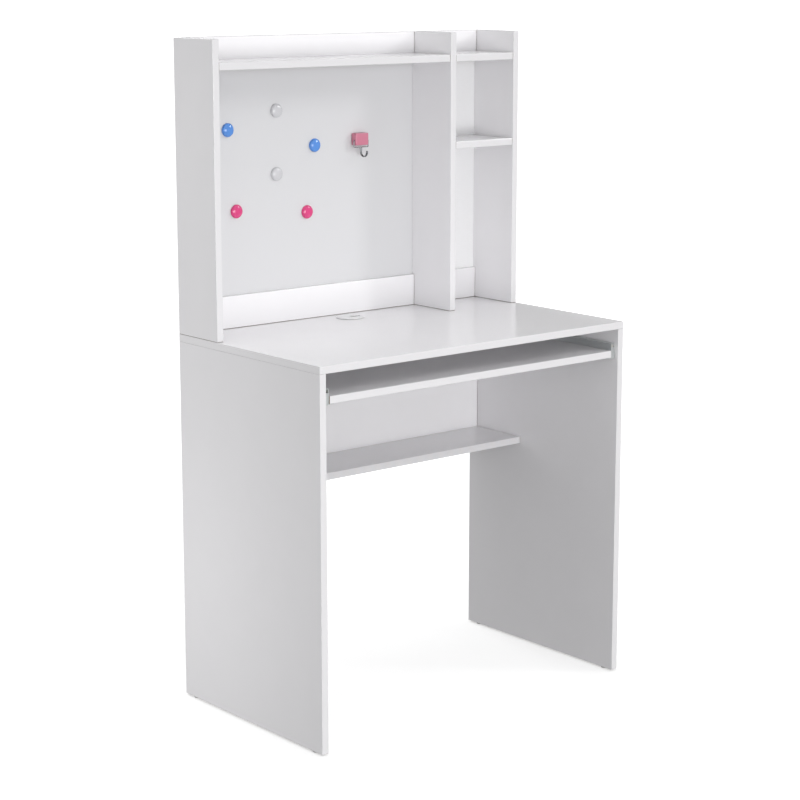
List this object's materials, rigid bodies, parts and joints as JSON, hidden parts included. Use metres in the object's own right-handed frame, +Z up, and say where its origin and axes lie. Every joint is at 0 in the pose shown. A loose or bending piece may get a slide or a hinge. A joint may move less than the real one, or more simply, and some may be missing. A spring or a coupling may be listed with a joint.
{
  "type": "computer desk",
  "caption": "White computer desk with a pull-out keyboard tray on roller slides, a lower shelf, a cable grommet, and a hutch with shelves and a magnet board.",
  "frame": {"origin": "on the floor under the middle of the desk", "axes": "+Z up, +Y towards the back of the desk, +X towards its right-hand side as the user sits"},
  "size_m": [0.8, 0.464, 1.353],
  "materials": {
    "white_melamine": "satin white melamine on particle board",
    "painted_board_steel": "white powder-coated steel sheet",
    "white_fibreboard": "white-lacquered fibreboard",
    "zinc_plated_steel": "zinc-plated steel",
    "zinc_die_casting": "die-cast zinc",
    "white_nylon": "white nylon",
    "white_grommet_plastic": "white moulded plastic",
    "grey_glide_plastic": "grey moulded plastic",
    "blue_magnet_plastic": "blue moulded plastic",
    "white_magnet_plastic": "white moulded plastic",
    "pink_magnet_plastic": "pink moulded plastic",
    "pink_hook_plastic": "pale pink moulded plastic",
    "chrome_plated_wire": "chrome-plated wire",
    "ferrite_magnet": "sintered ferrite",
    "beech_dowel": "plain beech"
  },
  "bodies": {
    "desk": {"desktop": "white_melamine", "left_side_panel": "white_melamine", "right_side_panel": "white_melamine", "modesty_panel": "white_melamine", "lower_shelf": "white_melamine", "hutch_left_side": "white_melamine", "hutch_right_side": "white_melamine", "hutch_divider": "white_melamine", "hutch_top_shelf_left": "white_melamine", "hutch_top_shelf_right": "white_melamine", "hutch_small_shelf": "white_melamine", "hutch_top_rail_left": "white_melamine", "hutch_top_rail_right": "white_melamine", "hutch_kick_rail_left": "white_melamine", "hutch_kick_rail_right": "white_melamine", "magnet_board": "painted_board_steel", "hutch_back_panel": "white_fibreboard", "left_desk_rail": "zinc_plated_steel", "right_desk_rail": "zinc_plated_steel", "grommet_sleeve": "white_grommet_plastic", "glide_left_front": "grey_glide_plastic", "cam_bolt_left_front": "zinc_plated_steel", "cam_lock_left_front": "zinc_die_casting", "hutch_dowel_left_front": "beech_dowel", "shelf_dowel_left_front": "beech_dowel", "glide_left_back": "grey_glide_plastic", "cam_bolt_left_back": "zinc_plated_steel", "cam_lock_left_back": "zinc_die_casting", "hutch_dowel_left_back": "beech_dowel", "shelf_dowel_left_back": "beech_dowel", "glide_right_front": "grey_glide_plastic", "cam_bolt_right_front": "zinc_plated_steel", "cam_lock_right_front": "zinc_die_casting", "hutch_dowel_right_front": "beech_dowel", "shelf_dowel_right_front": "beech_dowel", "glide_right_back": "grey_glide_plastic", "cam_bolt_right_back": "zinc_plated_steel", "cam_lock_right_back": "zinc_die_casting", "hutch_dowel_right_back": "beech_dowel", "shelf_dowel_right_back": "beech_dowel", "divider_screw_front": "zinc_plated_steel", "divider_screw_back": "zinc_plated_steel"},
    "tray": {"keyboard_tray": "white_melamine", "left_tray_rail": "zinc_plated_steel", "right_tray_rail": "zinc_plated_steel"},
    "hook": {"hook_body": "pink_hook_plastic", "hook_magnet": "ferrite_magnet"},
    "left_front_roller": {"left_front_roller": "white_nylon"},
    "left_rear_roller": {"left_rear_roller": "white_nylon"},
    "right_front_roller": {"right_front_roller": "white_nylon"},
    "right_rear_roller": {"right_rear_roller": "white_nylon"},
    "blue_magnet_left": {"blue_magnet_left": "blue_magnet_plastic"},
    "blue_magnet_right": {"blue_magnet_right": "blue_magnet_plastic"},
    "white_magnet_upper": {"white_magnet_upper": "white_magnet_plastic"},
    "white_magnet_lower": {"white_magnet_lower": "white_magnet_plastic"},
    "pink_magnet_left": {"pink_magnet_left": "pink_magnet_plastic"},
    "pink_magnet_right": {"pink_magnet_right": "pink_magnet_plastic"},
    "grommet_cap": {"grommet_cap": "white_grommet_plastic"},
    "hook_wire": {"hook_wire": "chrome_plated_wire"}
  },
  "joints": [
    {"name": "tray_slide", "type": "slide", "parent": "desk", "child": "tray", "axis": [0, -1, 0], "range_m": [0, 0.22]},
    {"name": "left_front_roller_turn", "type": "hinge", "parent": "desk", "child": "left_front_roller", "pos_m": [-0.3792, -0.212, 0.706], "axis": [1, 0, 0], "continuous": true},
    {"name": "left_rear_roller_turn", "type": "hinge", "parent": "tray", "child": "left_rear_roller", "pos_m": [-0.3792, 0.062, 0.6945], "axis": [1, 0, 0], "continuous": true},
    {"name": "right_front_roller_turn", "type": "hinge", "parent": "desk", "child": "right_front_roller", "pos_m": [0.3792, -0.212, 0.706], "axis": [1, 0, 0], "continuous": true},
    {"name": "right_rear_roller_turn", "type": "hinge", "parent": "tray", "child": "right_rear_roller", "pos_m": [0.3792, 0.062, 0.6945], "axis": [1, 0, 0], "continuous": true},
    {"name": "grommet_cap_turn", "type": "hinge", "parent": "desk", "child": "grommet_cap", "pos_m": [-0.009, 0.17, 0.762], "axis": [0, 0, 1], "continuous": true},
    {"name": "blue_magnet_left_pull", "type": "slide", "parent": "desk", "child": "blue_magnet_left", "axis": [0, -1, 0], "range_m": [0, 0.04]},
    {"name": "blue_magnet_right_pull", "type": "slide", "parent": "desk", "child": "blue_magnet_right", "axis": [0, -1, 0], "range_m": [0, 0.04]},
    {"name": "white_magnet_upper_pull", "type": "slide", "parent": "desk", "child": "white_magnet_upper", "axis": [0, -1, 0], "range_m": [0, 0.04]},
    {"name": "white_magnet_lower_pull", "type": "slide", "parent": "desk", "child": "white_magnet_lower", "axis": [0, -1, 0], "range_m": [0, 0.04]},
    {"name": "pink_magnet_left_pull", "type": "slide", "parent": "desk", "child": "pink_magnet_left", "axis": [0, -1, 0], "range_m": [0, 0.04]},
    {"name": "pink_magnet_right_pull", "type": "slide", "parent": "desk", "child": "pink_magnet_right", "axis": [0, -1, 0], "range_m": [0, 0.04]},
    {"name": "hook_pull", "type": "slide", "parent": "desk", "child": "hook", "axis": [0, -1, 0], "range_m": [0, 0.04]},
    {"name": "hook_swing", "type": "hinge", "parent": "hook", "child": "hook_wire", "pos_m": [0.0555, 0.2122, 1.1295], "axis": [-1, 0, 0], "range_deg": [0, 100]}
  ],
  "couplings": [
    {"joint": "left_front_roller_turn", "follows": "tray_slide", "rad_per_m": 111.11},
    {"joint": "left_rear_roller_turn", "follows": "tray_slide", "rad_per_m": 111.11},
    {"joint": "right_front_roller_turn", "follows": "tray_slide", "rad_per_m": 111.11},
    {"joint": "right_rear_roller_turn", "follows": "tray_slide", "rad_per_m": 111.11}
  ]
}
